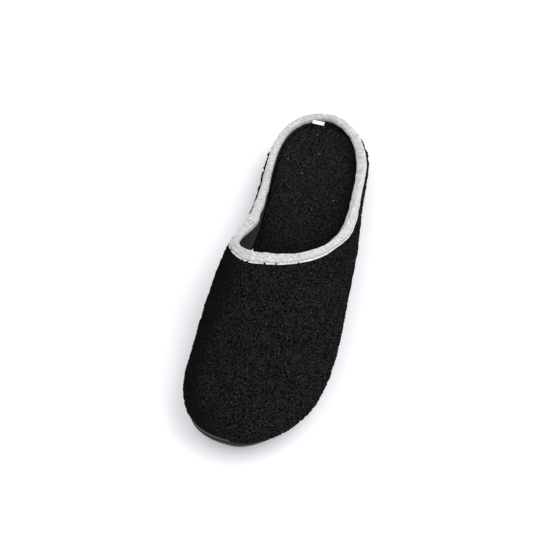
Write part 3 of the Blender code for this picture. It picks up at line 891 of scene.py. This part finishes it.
def makeFootbed():
    s = bedSettings
    t = np.linspace(0, 1, sampling["bed"])
    runs = [outlineEdge(side, t, s["inset"])[0] for side in (lateral, medial)]
    gone = runningTotal(np.max([stepLengths(run) for run in runs], axis=0))
    split = np.interp(stationAngle(s["shownTo"] / form["length"]), t, gone)
    shown = np.linspace(0, split, int(split / s["step"]))
    at = np.concatenate([shown, np.linspace(split, gone[-1], s["hiddenStations"])[1:]])
    bed = laidGrid("terryFootbed", inPlace([bedSection(x) for x in np.interp(at, gone, t)]))
    weld(bed)
    points, out = coords(bed), normals(bed)
    x, u = points[:, 0] / mm, alongU(points)
    rim = nearTree(inPlace([(*plan, 0) for run in runs for plan in run[::s["rimStride"]]]))
    inward = np.array([rim.find((*spot, 0))[2] for spot in points[:, :2]]) / mm
    cup = np.maximum(falling(x, *s["cupMedial"]), falling(u, *s["cupHeel"])) * falling(u, *s["cupAlong"])
    cup *= (1 - rising(inward, *s["cupInward"])) * rising(out[:, 2], *s["cupFacing"])
    points[:, 2] += s["cup"] * mm * cup
    setCoords(bed, points)
    out = normals(bed)
    top = np.flatnonzero((out[:, 2] > s["topFacing"][0]) & (u < s["shownTo"] + s["topPast"]))
    fade = falling(u[top], s["shownTo"], s["shownFades"]) * rising(out[top, 2], *s["topFacing"])
    raiseTerry(bed, top, out[top], s, fade)
    # painted shade: the footbed is darker towards its lateral side and its fore part
    setAttribute(bed, "lay", np.maximum(rising(x, *s["paintedShadeLateral"]), rising(u, *s["paintedShadeFore"])))
    thin(bed, s["most"])
    # the footbed takes the lighter, painted-light copy of the terry
    place(bed, finishes["litBedTerry"], "insole", "insole")


# Velour binding folded over the collar
bindingSettings = {
    "stations": 190, "gap": 0.2, "tape": 0.7, "tip": 0.45, "round": 0.85, "most": 120000,
    "bulge": 0.25, "groove": 0.22, "outerShares": (0.94, 0.87, 0.80, 0.62, 0.44, 0.24), "seamShare": 0.87,
    "crownSteps": 10, "innerShares": (0.25, 0.5, 0.75),
    "soft": 0.16, "softSize": 7.0, "wave": 0.20, "waveSize": 19.0, "seed": 23,
    "join": 0.437, "joinAhead": 0.433,  # where the tape's ends overlap, on the medial side
    "joinWide": 1.0, "joinHeight": 0.45, "joinNear": 14.0, "lapEnds": (3, 8), "far": 20,
    "stitchStep": 2.6, "stitchLong": 1.7, "stitchThick": 0.30, "stitchDive": 0.30, "stitchProud": 0.05,
}


def collarFrames(line):  # at each point of the collar: the point, the way along it, out of it and down it
    count = len(line)
    for i in range(count):
        run = (line[(i + 1) % count] - line[i - 1]).normalized()
        normal = (onSkin(line[i], 1.0) - onSkin(line[i], 0.0)).normalized()
        normal = (normal - run * normal.dot(run)).normalized()
        yield line[i], run, normal, normal.cross(run)


def tapeSection(spot, normal, down):
    s = bindingSettings
    wall = form["wall"]
    reach, liner, pad, full, crown = tapeAt(spot)[:tapeStand]
    face = s["gap"] + s["tape"]

    def below(depth, offset):
        return onSkin(spot + down * depth * mm, offset)

    ring = [below(reach, s["gap"] + s["tip"])]
    for share in s["outerShares"]:
        lift = s["bulge"] * math.sin(math.pi * share) - (s["groove"] if share == s["seamShare"] else 0)
        ring.append(below(share * reach, face + full * (1 - share) + lift))
    middle, half = spot - normal * (wall + pad - full) / 2 * mm, (wall + pad + full) / 2 + face
    for i in range(s["crownSteps"] + 1):
        turn = math.pi * i / s["crownSteps"]
        across = math.copysign(abs(math.cos(turn)) ** s["round"], math.cos(turn)) * half
        ring.append(middle + (normal * across - down * math.sin(turn) * (s["gap"] + crown)) * mm)
    ring += [below(share * liner, -(wall + pad + face)) for share in s["innerShares"]]
    ring.append(below(liner, -(wall + s["gap"] + s["tip"])))
    ring += [below(depth, -(wall + s["gap"])) for depth in (liner, liner / 2)]  # back up inside the fold
    middle = spot - normal * wall / 2 * mm
    for across in (-wall / 2 - s["gap"], wall / 2 + s["gap"]):
        ring.append(middle + (normal * across - down * s["gap"]) * mm)
    return ring + [below(depth, s["gap"]) for depth in (reach / 2, reach)]


def outerEdge(spot):  # how far a spot on the binding lies from its outer edge, in millimetres
    i, gap = collarTree.find(spot)[1:]
    outside = (spot - onSkin(spot, -form["wall"] / 2)).dot(outward(spot)[1]) > 0
    return tapeSizes[i, tapeReach] - gap / mm if outside else bindingSettings["far"]


def makeBinding():
    s = bindingSettings
    line = [Vector(p) for p in collarLine(s["stations"])]
    rings = [tapeSection(spot, normal, down) for spot, run, normal, down in collarFrames(line)]
    rings.append(rings[0])
    binding = laidGrid("velourBinding", np.array([[list(p) for p in ring + ring[:1]] for ring in rings]))
    weld(binding)
    modify(binding, "SUBSURF", levels=1, render_levels=1)
    points, out = coords(binding), normals(binding)
    lift = s["soft"] * clouds(points, s["softSize"], s["seed"])
    lift += s["wave"] * clouds(points, s["waveSize"], s["seed"] + 1)
    here, ahead = collarSpot(medial, s["join"]), collarSpot(medial, s["joinAhead"])
    run = (ahead - here) / np.linalg.norm(ahead - here)
    near = np.linalg.norm(points - here, axis=1) < s["joinNear"] * mm
    slant = np.where(near, (points - here) @ run / mm, s["far"])
    lap = rising(slant, -s["joinWide"], 2 * s["joinWide"]) - rising(slant, *s["lapEnds"])
    setCoords(binding, points + out * (lift + s["joinHeight"] * lap)[:, None] * mm)
    setAttribute(binding, "join", slant)
    setAttribute(binding, "edge", [outerEdge(Vector(p)) for p in points])
    thin(binding, s["most"])
    place(binding, finishes["velour"], "collar_binding", "collar_binding")


collarRun = collarLine(sampling["coarseRun"])
collarRun = evenSteps(np.concatenate([collarRun, collarRun[:1]]), sampling["run"])[:-1]
runFrames = list(collarFrames([Vector(p) for p in collarRun]))


def frameAt(side, station):
    return runFrames[np.argmin(np.linalg.norm(collarRun - collarSpot(side, station), axis=1))]


def makeStitches():
    s = bindingSettings
    length = np.sum(stepLengths(collarRun)) / mm
    pick = np.linspace(0, len(collarRun), int(length / s["stitchStep"]), endpoint=False).astype(int)
    stitch = added(bpy.ops.mesh.primitive_uv_sphere_add, "stitch", segments=8, ring_count=6, radius=0.5)
    points = coords(stitch) * np.array([s["stitchLong"], s["stitchThick"], s["stitchThick"]])
    points[:, 2] -= s["stitchDive"] * (points[:, 0] / (s["stitchLong"] / 2)) ** 2  # its ends dive
    setCoords(stitch, points * mm)
    matrices = []
    face = s["gap"] + s["tape"] + s["bulge"] * math.sin(math.pi * s["seamShare"]) - s["groove"]
    for i in pick:
        spot, run, normal, down = runFrames[i]
        at = onSkin(spot + down * s["seamShare"] * tapeAt(spot)[tapeReach] * mm, face + s["stitchProud"])
        up = (at - onSkin(at, 0)).normalized()
        along = (run - up * run.dot(up)).normalized()
        matrices.append(facing(at, along, up.cross(along), up))
    place(copies("bindingStitches", stitch, matrices), finishes["tape"], None, "collar_binding")


# Loops of terry that stray over the binding's edge at the throat
tuftSettings = {
    "spots": ((medial, 0.5140), (medial, 0.5262), (medial, 0.5269),
              (lateral, 0.5262), (lateral, 0.5238), (lateral, 0.5140)),
    "size": 1.5, "vary": (0.7, 1.2), "overEdge": (0.1, 0.7), "proud": 0.15, "mostTurn": 3, "seed": 31,
    "lump": ((8.0, 6.0, 7.0), 0.0, 0.8, 0.3, (1.3, 1.0, 0.6)),  # ripples, shift, level, swing, stretch
}


def makeTufts():
    s, b = tuftSettings, bindingSettings
    tuft = lump("tuft", *s["lump"])
    rng = np.random.default_rng(s["seed"])
    matrices = []
    for side, station in s["spots"]:
        spot, run, normal, down = frameAt(side, station)
        depth = tapeAt(spot)[tapeReach] - rng.uniform(*s["overEdge"])
        at = onSkin(spot + down * depth * mm, b["gap"] + b["tape"] + s["proud"])
        turn = Matrix.Rotation(rng.uniform(0, s["mostTurn"]), 4, "Z")
        size = Matrix.Scale(s["size"] * rng.uniform(*s["vary"]), 4)
        matrices.append(facing(at, run, normal.cross(run), normal) @ turn @ size)
    place(copies("strayLoops", tuft, matrices), finishes["terry"], None, "upper")


threadSettings = {
    "side": medial, "station": 0.5265, "thick": 1.3, "tip": 0.3, "long": 2.8, "up": 0.3, "soft": 0.1,
}


def makeThread():  # the end of a thread at the throat
    s = threadSettings
    radius = s["thick"] / 2 * mm
    thread = added(bpy.ops.mesh.primitive_cone_add, "threadEnd", vertices=12, radius1=radius,
                   radius2=s["tip"] * radius, depth=s["long"] * mm)
    modify(thread, "BEVEL", width=s["soft"] * mm, segments=2)
    spot, run, normal, down = frameAt(s["side"], s["station"])
    at = spot - normal * form["wall"] / 2 * mm - down * (tapeAt(spot)[tapeCrown] + s["up"] * s["long"]) * mm
    thread.data.transform(Matrix.Translation(at) @ (-down).to_track_quat("Z", "X").to_matrix().to_4x4())
    place(thread, finishes["tape"], None, "collar_binding")

# Rubber outsole with its tread
soleSettings = {
    "stations": 190, "across": 10, "cornerCuts": 2, "smoothAngle": 32,
    "side": ((0.00, 3.0), (0.06, 1.5), (0.20, 0.5), (0.44, 0.1), (0.60, 0.4),
             (0.66, 1.4), (0.73, 1.4), (0.78, 0.2), (0.92, 0.0), (1.00, 0.6)),  # rise, inset
    "depth": 2.0, "below": 2.0, "strip": 4.0,
    "rim": 6.8, "rimSpan": (0.02, 0.98), "halvings": 40, "runPoints": 44,
    "foreFront": (246.8, 0.0, 0.0108, -2.0),  # where a panel ends: u, slant, curve and its middle
    "foreBack": (152.0, 0.16, 0.0, 0.0), "heelFront": (53.5, 0.48, 0.0, 0.0),
    "slant": -0.185, "fullness": 0.75, "root": 0.6, "margin": 0.5,
    "lugRun": 12, "lugProbes": 10, "lugSides": 36, "lugEdge": 0.45,
    "grooves": (-0.19, 0.19), "grooveLong": 0.66, "grooveWide": 0.85, "grooveDeep": 0.95,
    "fore": {"firstRow": -29.4, "rowPitch": 13.3, "rows": 6, "pitch": 11.4, "phase": 220.6,
             "long": 10.4, "short": 8.8, "wide": 7.0},
    "heel": {"firstRow": -19.4, "rowPitch": 10.6, "rows": 5, "pitch": 8.65, "phase": 26.9,
             "long": 9.0, "short": 7.2, "wide": 5.6},
    "ticks": ((medial, 236.0, 282.0), (lateral, 262.0, 282.0), (medial, 41.0, 54.5)),  # runs of fine ticks
    "tickInset": 6.9, "tickStep": 2.0, "tickLong": 2.3, "tickWide": 0.75, "tickDeep": 0.55,
}


def rounded(rows):  # corners cut a quarter of the way along
    rows = np.array(rows, float)
    for i in range(soleSettings["cornerCuts"]):
        back, front = 0.75 * rows[:-1] + 0.25 * rows[1:], 0.25 * rows[:-1] + 0.75 * rows[1:]
        rows = np.concatenate([rows[:1], np.stack([back, front], 1).reshape(-1, 2), rows[-1:]])
    return rows


def soleSection(t, rows):
    rise, inset = rows.T
    walls = {}
    for side in (lateral, medial):
        plan = outlineEdge(side, np.full(len(rows), t), inset)[0]
        walls[side] = np.column_stack([plan, rise * soleThick(alongShoe(t))])
    share = np.linspace(0, 1, soleSettings["across"] + 1)[1:-1, None]
    over = walls[lateral][-1] + (walls[medial][-1] - walls[lateral][-1]) * share
    under = walls[medial][0] + (walls[lateral][0] - walls[medial][0]) * share
    return np.concatenate([walls[lateral], over, walls[medial][::-1], under, walls[lateral][:1]])


def panelEnd(name, x):
    u, slant, curve, middle = soleSettings[name]
    return u + slant * x - curve * (x - middle) ** 2


def rimPoint(side, t):
    return outlineEdge(side, t, soleSettings["rim"])[0]


def rimWhere(side, name):  # where the rim meets the end of a panel
    low, high = soleSettings["rimSpan"]
    for i in range(soleSettings["halvings"]):
        middle = (low + high) / 2
        x, u = rimPoint(side, middle)
        low, high = (middle, high) if u < panelEnd(name, x) else (low, middle)
    return low


def rimRun(side, first, last):
    return [tuple(rimPoint(side, t)) for t in np.linspace(first, last, soleSettings["runPoints"])]


def forePanel():
    outer = rimRun(lateral, rimWhere(lateral, "foreBack"), rimWhere(lateral, "foreFront"))
    inner = rimRun(medial, rimWhere(medial, "foreFront"), rimWhere(medial, "foreBack"))
    across = np.linspace(outer[-1][0], inner[0][0], soleSettings["runPoints"])[1:-1]
    return outer + [(x, panelEnd("foreFront", x)) for x in across] + inner


def heelPanel():
    outer = rimRun(lateral, 0.0, rimWhere(lateral, "heelFront"))
    return outer + rimRun(medial, rimWhere(medial, "heelFront"), 0.0)[:-1]


def inPanel(panel, x, u):
    hit = False
    for (x0, u0), (x1, u1) in zip(panel[-1:] + panel[:-1], panel):
        if (u0 > u) != (u1 > u) and x < x0 + (u - u0) / (u1 - u0) * (x1 - x0):
            hit = not hit
    return hit


def ovalPoint(turn, long, wide):  # a full, stretched round
    power = soleSettings["fullness"]
    c, s = math.cos(turn), math.sin(turn)
    return math.copysign(abs(c) ** power, c) * long / 2, math.copysign(abs(s) ** power, s) * wide / 2


def lugPlaces(panel, tread):  # the lugs that lie whole in their panel
    s = soleSettings
    tilt = math.atan(s["slant"])
    c, n = math.cos(tilt), math.sin(tilt)
    for row in range(tread["rows"]):
        x = tread["firstRow"] + row * tread["rowPitch"]
        long, wide = tread["long"] if row % 2 else tread["short"], tread["wide"]
        turns = [2 * math.pi * (k + 0.5) / s["lugProbes"] for k in range(s["lugProbes"])]
        reach = [ovalPoint(turn, long + 2 * s["margin"], wide + 2 * s["margin"]) for turn in turns]
        for i in range(-s["lugRun"], s["lugRun"] + 1):
            u = tread["phase"] + i * tread["pitch"] + s["slant"] * x
            if all(inPanel(panel, x + a * c - b * n, u + a * n + b * c) for a, b in reach):
                yield x, u, long, wide


def makePanelCutter(name, panel):
    s = soleSettings
    cutter = added(bpy.ops.mesh.primitive_circle_add, name, vertices=len(panel), radius=1, fill_type="NGON")
    setCoords(cutter, inPlace([(x, u, s["depth"]) for x, u in panel]))
    drop = {"value": (0, 0, -(s["depth"] + s["below"]) * mm)}
    steps = [(bpy.ops.mesh.extrude_region_move, {"TRANSFORM_OT_translate": drop}),
             (bpy.ops.mesh.normals_make_consistent, {"inside": False})]
    low, high = min(u for x, u in panel), max(u for x, u in panel)
    for u in np.arange(low + s["strip"], high - s["strip"] / 2, s["strip"]):  # strips that can bend
        plane = {"plane_co": (0, (form["centreU"] - u) * mm, 0), "plane_no": (0, 1, 0)}
        steps.append((bpy.ops.mesh.bisect, plane))
    edited(cutter, *steps)
    return cutter


def makeBar(name, size, spot=(0, 0, 0)):
    bar = added(bpy.ops.mesh.primitive_cube_add, name, size=1, location=Vector(spot) * mm)
    bar.scale = Vector(size) * mm
    bpy.ops.object.transform_apply(location=True, rotation=False, scale=True)
    return bar


def makeLug(long, wide):
    s = soleSettings
    tall = s["depth"] + s["root"]
    lug = added(bpy.ops.mesh.primitive_cylinder_add, "lug", vertices=s["lugSides"], radius=1, depth=tall * mm)
    points = coords(lug)
    for p in points:
        p[:2] = np.array(ovalPoint(math.atan2(p[1], p[0]), long, wide)) * mm
    setCoords(lug, points)
    bpy.ops.object.mode_set(mode="EDIT")
    bpy.ops.mesh.select_all(action="DESELECT")
    bpy.ops.object.mode_set(mode="OBJECT")
    for face in lug.data.polygons:
        face.select = face.normal.z < -0.9  # the face that meets the ground
    bpy.ops.object.mode_set(mode="EDIT")
    bpy.ops.mesh.bevel(offset=s["lugEdge"] * mm, segments=3, affect="EDGES")
    bpy.ops.object.mode_set(mode="OBJECT")
    for aside in s["grooves"]:  # two grooves along that face
        size = long * s["grooveLong"], s["grooveWide"], 2 * s["grooveDeep"]
        cutOut(lug, makeBar("lugGroove", size, (0, aside * wide, -tall / 2)))
    lug.data.transform(Matrix.Translation((0, 0, tall / 2 * mm)))
    return lug


def makeTicks():
    s = soleSettings
    matrices = []
    for side, low, high in s["ticks"]:
        ends = stationAngle(low / form["length"]), stationAngle(high / form["length"])
        run, way = outlineEdge(side, np.linspace(*ends, sampling["ticks"]), s["tickInset"])
        gone = runningTotal(stepLengths(run))
        for at in np.arange(s["tickStep"] / 2, gone[-1], s["tickStep"]):
            x, u, wayX, wayU = (np.interp(at, gone, column) for column in (*run.T, *way.T))
            turn = Matrix.Rotation(math.atan2(-wayU, wayX), 4, "Z")
            matrices.append(Matrix.Translation(Vector(inPlace((x, u, 0.0)))) @ turn)
    return copies("tickCutter", makeBar("tick", (s["tickLong"], s["tickWide"], 2 * s["tickDeep"])), matrices)


def makeSole():
    s = soleSettings
    rows = rounded(s["side"])
    sole = laidGrid("rubberSole", inPlace([soleSection(t, rows) for t in np.linspace(0, 1, s["stations"])]))
    weld(sole)
    lugs = []
    tilt = Matrix.Rotation(-math.atan(s["slant"]), 4, "Z")
    for name, panel in (("fore", forePanel()), ("heel", heelPanel())):
        cutOut(sole, makePanelCutter(name + "Recess", panel))
        spots = {}
        for x, u, *size in lugPlaces(panel, s[name]):
            spots.setdefault(tuple(size), []).append(Matrix.Translation(Vector(inPlace((x, u, 0.0)))) @ tilt)
        lugs += [copies(name + "Lugs", makeLug(*size), matrices) for size, matrices in spots.items()]
    cutOut(sole, makeTicks())
    modify(sole, "TRIANGULATE")
    alone(sole)
    for piece in lugs:
        piece.select_set(True)
    bpy.ops.object.join()
    points = coords(sole)
    u = alongU(points)
    share = points[:, 2] / mm / soleThick(u)
    setAttribute(sole, "height", share)
    points[:, 2] += mm * (toeSpring(u) + archLift(u) * (1 - share))  # the toe lifts and the waist hollows
    setCoords(sole, points)
    place(sole, finishes["rubber"], "outsole", "outsole")
    bpy.ops.object.shade_smooth_by_angle(angle=math.radians(s["smoothAngle"]))

# Blank white tab inside the heel
tabSettings = {
    "wide": 9.4, "tall": 2.9, "shift": (0.7, 0.0, 1.2), "columns": 22, "rows": 34,
    "tilt": -0.46, "lean": 0.6,  # it hangs a little askew, its free edge forward over the footbed
    "deep": 0.62, "fold": 1.0, "cloth": 0.17, "soft": 0.05, "curl": 0.25, "wave": 0.18, "waves": 5,
}


def makeTab():
    s = tabSettings
    node = coords(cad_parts["heel_tab"])
    middle = Vector((node.min(0) + node.max(0)) / 2 + np.array(s["shift"]) * mm)
    across, down, out = (Vector(axis) for axis in np.linalg.svd(node - node.mean(0), full_matrices=False)[2])
    if down.z > 0:
        down = -down
    if out.y > 0:
        out = -out
    down = Matrix.Rotation(s["tilt"], 3, out) @ down
    across = down.cross(out)
    lean = Matrix.Rotation(s["lean"], 3, across)
    down, out = lean @ down, lean @ out
    table = []
    for run in np.linspace(0, 2 * s["tall"], s["rows"]):  # front layer down, round the fold, back layer up
        bend = np.clip((run - s["tall"] + s["fold"] / 2) / s["fold"], 0, 1) * math.pi
        drop = min(run, 2 * s["tall"] - run)
        lift = s["deep"] / 2 * math.cos(bend) + s["curl"] * (drop / s["tall"]) ** 2
        for x in np.linspace(-0.5, 0.5, s["columns"]):
            proud = lift + s["wave"] * math.cos(s["waves"] * x)
            table.append(middle + (across * x * s["wide"] + down * (drop - s["tall"] / 2) + out * proud) * mm)
    tab = laidGrid("heelTab", np.array([list(p) for p in table]).reshape(s["rows"], s["columns"], 3))
    modify(tab, "SOLIDIFY", thickness=s["cloth"] * mm, offset=0.0)
    modify(tab, "BEVEL", width=s["soft"] * mm, segments=2, limit_method="ANGLE")
    place(tab, finishes["tape"], "heel_tab", "heel_tab")

# Lint on the footbed
lintSettings = {
    "spots": (  # x, y and size in millimetres
        (-34.8, 102.3, 1.0), (-27.6, 100.3, 0.75), (-11.9, 128.2, 0.6), (-14.3, 90.3, 0.6),
        (15.4, 68.9, 0.55), (20.6, 117.1, 0.9), (-6.6, 109.6, 0.45), (7.0, 94.4, 0.35),
        (-20.8, 76.4, 0.35), (1.0, 58.4, 0.35),
    ),
    "above": 23.0, "proud": 0.12, "seed": 5,
    "lump": ((9.0, 5.0, 7.0), 1.0, 0.75, 0.35, (1.5, 1.0, 0.6)),  # ripples, shift, level, swing, stretch
}


def makeLintSpecks():
    s = lintSettings
    fluff = lump("fluff", *s["lump"])
    bed = BVHTree.FromObject(bpy.data.objects["terryFootbed"], bpy.context.evaluated_depsgraph_get())
    rng = np.random.default_rng(s["seed"])
    matrices = []
    for x, y, size in s["spots"]:
        at = bed.find_nearest(Vector((x, y, s["above"])) * mm)[0] + Vector((0, 0, s["proud"] * mm))
        turn = Matrix.Rotation(rng.uniform(0, math.pi), 4, "Z")
        matrices.append(Matrix.Translation(at) @ turn @ Matrix.Scale(size, 4))
    place(copies("lintSpecks", fluff, matrices), finishes["lint"], None, "insole")

# Floor and light
studio = {
    "floor": 12.0, "drop": 0.2, "paint": (0.93, 0.91605, 0.9486, 1), "world": 0.92,
    "lights": (  # name, power, size, place, aim
        ("keyLight", 46.0, 2.2, (1.65, 0.45, 1.85), (0, 0, 0.02)),
        ("fillLight", 14.0, 1.8, (0.2, -1.9, 1.0), (0, -0.1, 0.0)),
    ),
}


def makeStudio():
    floor = added(bpy.ops.mesh.primitive_plane_add, "paleFloor", size=studio["floor"])
    floor.data.transform(Matrix.Translation((0, 0, -studio["drop"] * mm)))
    paint = Finish("paleFloor", Base_Color=studio["paint"], Roughness=0.9, Specular_IOR_Level=0.1)
    floor.data.materials.append(paint.material)
    for name, power, size, spot, aim in studio["lights"]:
        light = added(bpy.ops.object.light_add, name, type="AREA", location=spot)
        light.data.energy, light.data.size = power, size
        light.rotation_euler = (Vector(aim) - Vector(spot)).to_track_quat("-Z", "Y").to_euler()
    world = bpy.data.worlds.new("studioWorld")
    world.use_nodes = True
    sky = world.node_tree.nodes["Background"].inputs
    sky["Color"].default_value = (1, 1, 1, 1)
    sky["Strength"].default_value = studio["world"]
    bpy.context.scene.world = world
    bpy.context.scene.view_settings.view_transform = "Standard"


for stage in (makeCamera, makeUpper, makeFootbed, makeBinding, makeStitches, makeTufts, makeThread,
              makeSole, makeTab, makeLintSpecks, makeStudio):
    stage()
    print(stage.__name__, "done")
